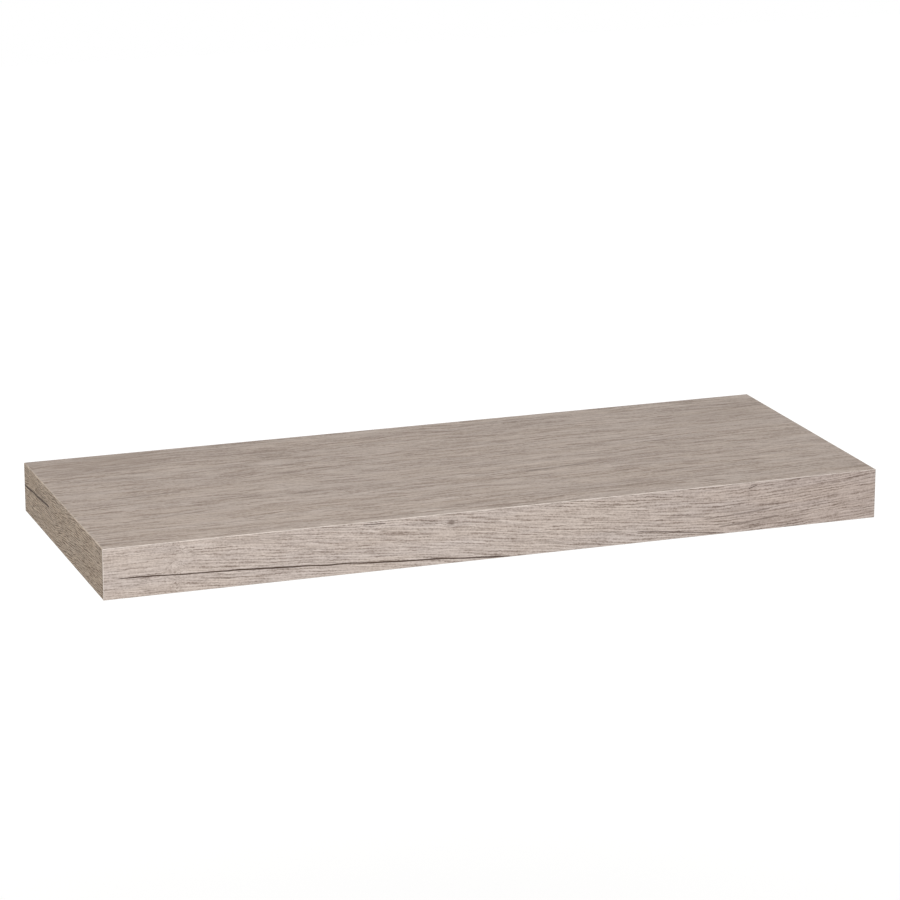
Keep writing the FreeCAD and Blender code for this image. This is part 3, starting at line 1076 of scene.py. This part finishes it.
def locking_screw(settings, height):
    """A headless screw, upright with its hexagon socket at nought and its blunt point up."""
    screw = thread("right_lock_screw", settings.lock_root, settings.lock_crest, settings.lock_pitch, height,
                   settings.thread_steps)
    chamfer, chamfer_share, point_share = 0.5 * MM, 0.16, 0.5
    cone, cone_end = 0.6 * MM, 0.1

    def limit(level):
        start = 1 - chamfer_share * max(0, 1 - level / chamfer)
        end = 1 - point_share * max(0, 1 - (height - level) / settings.lock_point)
        return min(start, end)

    turn_down(screw, limit)
    tool = new_primitive("socket", bpy.ops.mesh.primitive_cylinder_add, vertices=6,
                         radius=settings.socket_radius, depth=2 * settings.socket_depth)
    edit(tool)
    pick(tool, lambda corner: corner.z > 0, "FACE")
    extrude((0, 0, cone))
    bpy.ops.transform.resize(value=(cone_end, cone_end, 1), center_override=(0, 0, 0))
    tidy_faces()
    close_edit()
    combine(screw, tool, "DIFFERENCE")
    return screw


class SHELF_OT_studio(bpy.types.Operator):
    """Makes the floor, the surroundings, the lamps and the camera"""
    bl_idname = "shelf.studio"
    bl_label = "Studio"

    def execute(self, context):
        settings = context.scene.shelf_studio
        make_floor(settings)
        make_world(settings)
        add_lamp("key_lamp", key_lamp_place, settings.key_power, size=1.2, lamp_colour=(1, 0.985, 0.97))
        add_lamp("top_lamp", top_lamp_place, settings.top_power, size=1.5, lamp_colour=(1, 0.98, 0.95))
        make_camera(settings)
        context.scene.view_settings.view_transform = "Standard"
        return {"FINISHED"}


def seen_directly(tree):
    """1 where the camera, a reflection or glass looks straight at a surface, 0 where light falls on it."""
    path = named(add_node("ShaderNodeLightPath", {}, tree).outputs)
    looked_at = calc("MAXIMUM", path.is_camera_ray, path.is_glossy_ray)
    return calc("MAXIMUM", looked_at, path.is_transmission_ray)


def make_floor(settings):
    """A plain floor that is white to look at, keeps a soft shadow and can't be seen from below."""
    shadow_end, white_start = 1000, 3000
    near_glow, far_glow, near_share = 1.4, 1.08, 0.55
    floor = new_primitive("floor", bpy.ops.mesh.primitive_plane_add, size=settings.floor_size,
                          location=(0, 0, -settings.floor_drop))
    material, place = new_material("pale_floor")
    tree = material.node_tree
    shader = tree.nodes["Principled BSDF"]
    feed(shader.inputs["Base Color"], settings.floor_colour)
    shader.inputs["Roughness"].default_value = 0.9
    shader.inputs["Specular IOR Level"].default_value = 0.1
    x, y, _ = split(place)
    away = distance(x, y)
    strength = spread(away, shadow_end, white_start, near_glow, far_glow)
    white = output_of("ShaderNodeEmission", {"Color": (1, 1, 1, 1), "Strength": strength})
    share = seen_directly(tree) * spread(away, shadow_end, white_start, near_share, 1)
    lit = output_of("ShaderNodeMixShader", {0: share, 1: Value(shader.outputs[0]), 2: white})
    clear = output_of("ShaderNodeBsdfTransparent", {}, tree=tree)
    below = output_of("ShaderNodeNewGeometry", {}, "Backfacing", tree)
    sided = output_of("ShaderNodeMixShader", {0: below, 1: lit, 2: clear})
    feed(tree.nodes["Material Output"].inputs["Surface"], sided)
    dress(floor, material)


def make_world(settings):
    """White surroundings that light the shelf only softly."""
    world = bpy.data.worlds.new("studio")
    bpy.context.scene.world = world
    world.use_nodes = True
    tree = world.node_tree
    tree.nodes.clear()
    strength = spread(seen_directly(tree), 0, 1, settings.world_light, 1)
    background = output_of("ShaderNodeBackground", {"Color": (1, 1, 1, 1), "Strength": strength})
    feed(tree.nodes.new("ShaderNodeOutputWorld").inputs["Surface"], background)


def stand(name, data, place, aim):
    """Stands a lamp or the camera at a place and points it at another."""
    thing = bpy.data.objects.new(name, data)
    thing.location = place
    thing.rotation_euler = (Vector(aim) - Vector(place)).to_track_quat("-Z", "Y").to_euler()
    bpy.context.scene.collection.objects.link(thing)
    return thing


def add_lamp(name, place, power, size, lamp_colour):
    """A square soft lamp that points at the middle of the board."""
    data = bpy.data.lights.new(name, "AREA")
    data.shape = "SQUARE"
    data.size = size
    data.energy = power
    data.color = lamp_colour
    stand(name, data, place, lamp_aim)


def make_camera(settings):
    data = bpy.data.cameras.new("camera")
    data.lens = settings.lens
    data.sensor_width = 36.0
    bpy.context.scene.camera = stand("camera", data, camera_place, camera_aim)


class SHELF_PT_panel(bpy.types.Panel):
    """Lists the steps that dress the shelf"""
    bl_label = "Floating shelf"
    bl_idname = "SHELF_PT_panel"
    bl_space_type = "VIEW_3D"
    bl_region_type = "UI"
    bl_category = "Shelf"

    def draw(self, context):
        for operator in steps:
            self.layout.operator(operator.bl_idname)


steps = (
    SHELF_OT_foils,
    SHELF_OT_edging,
    SHELF_OT_core,
    SHELF_OT_bracket,
    SHELF_OT_wall_screws,
    SHELF_OT_wall_plugs,
    SHELF_OT_locks,
    SHELF_OT_studio,
)
settings_groups = {
    "shelf_foil": FoilSettings,
    "shelf_edging": EdgingSettings,
    "shelf_core": CoreSettings,
    "shelf_bracket": BracketSettings,
    "shelf_fasteners": FastenerSettings,
    "shelf_studio": StudioSettings,
}


def register():
    for kind in (*settings_groups.values(), *steps, SHELF_PT_panel):
        bpy.utils.register_class(kind)
    for name, kind in settings_groups.items():
        setattr(bpy.types.Scene, name, PointerProperty(type=kind))


def unregister():
    for name in settings_groups:
        delattr(bpy.types.Scene, name)
    for kind in (SHELF_PT_panel, *reversed(steps), *settings_groups.values()):
        bpy.utils.unregister_class(kind)


def main():
    register()
    bpy.ops.shelf.foils()
    bpy.ops.shelf.edging()
    bpy.ops.shelf.core()
    bpy.ops.shelf.bracket()
    bpy.ops.shelf.wall_screws()
    bpy.ops.shelf.wall_plugs()
    bpy.ops.shelf.locks()
    bpy.ops.shelf.studio()


if __name__ == "__main__":
    main()
